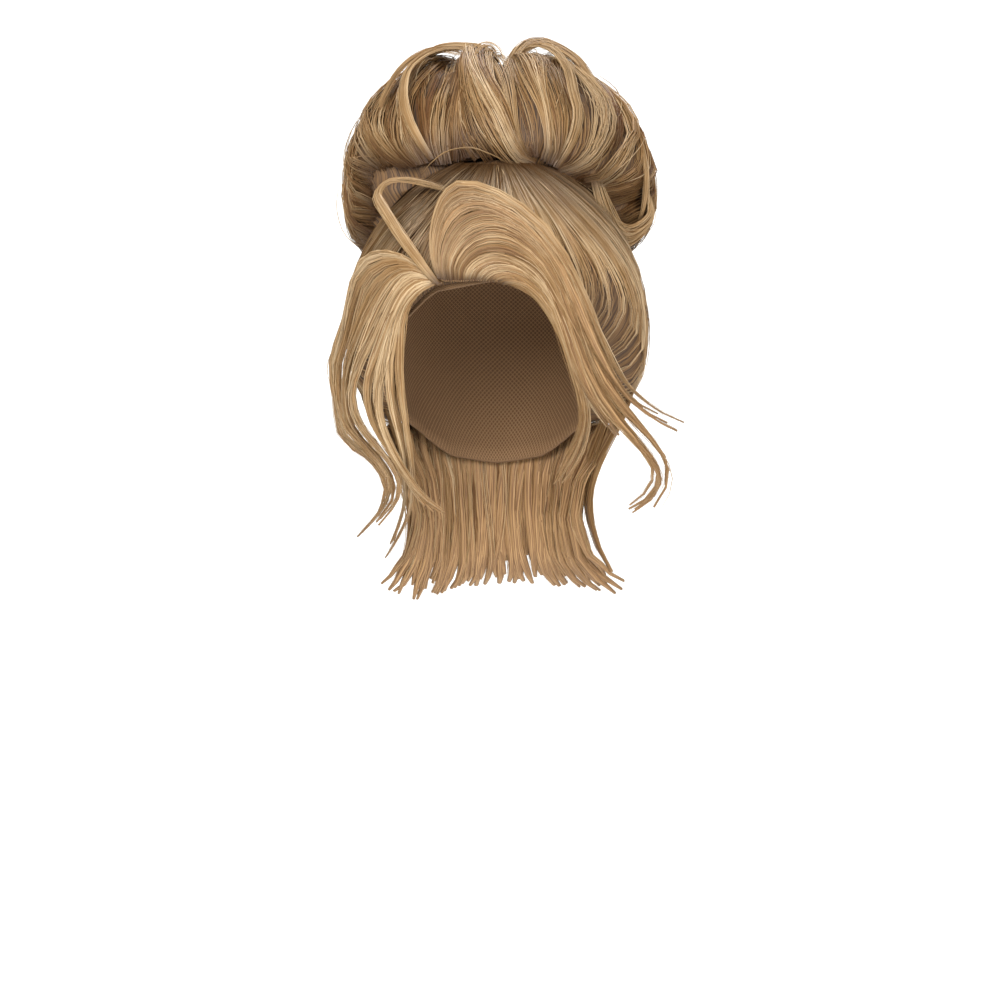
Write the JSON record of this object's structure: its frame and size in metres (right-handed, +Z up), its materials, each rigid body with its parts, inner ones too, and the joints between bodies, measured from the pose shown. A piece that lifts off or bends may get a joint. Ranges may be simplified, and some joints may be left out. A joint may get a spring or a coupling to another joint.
{
  "type": "costume wig",
  "caption": "Costume wig on an open net cap: swept-up crown hair under a large rolled bun, a side-swept fringe, loose face locks and a flicked curtain of hair at the nape.",
  "frame": {"origin": "the inside of the top of the cap, where it bears on the crown of the head", "axes": "+Z up through the crown, -Y the way the face looks, +X the wearer's left, which is the viewer's right from the front"},
  "size_m": [0.2609, 0.2637, 0.43],
  "materials": {
    "net": "stretch net with rows of weft sewn across it",
    "hair": "honey blonde synthetic fibre with a soft sheen",
    "under_hair": "the same fibre, combed flat and a little darker"
  },
  "bodies": {
    "root": {"wig_cap": "net", "crown_hair": "under_hair", "bun": "hair", "bun_loop_right": "hair", "bun_loop_left": "hair", "bun_loop_low": "hair", "swept_fringe": "hair", "side_fringe": "hair", "parting_loop": "hair", "nape_hair": "under_hair"}
  },
  "joints": []
}
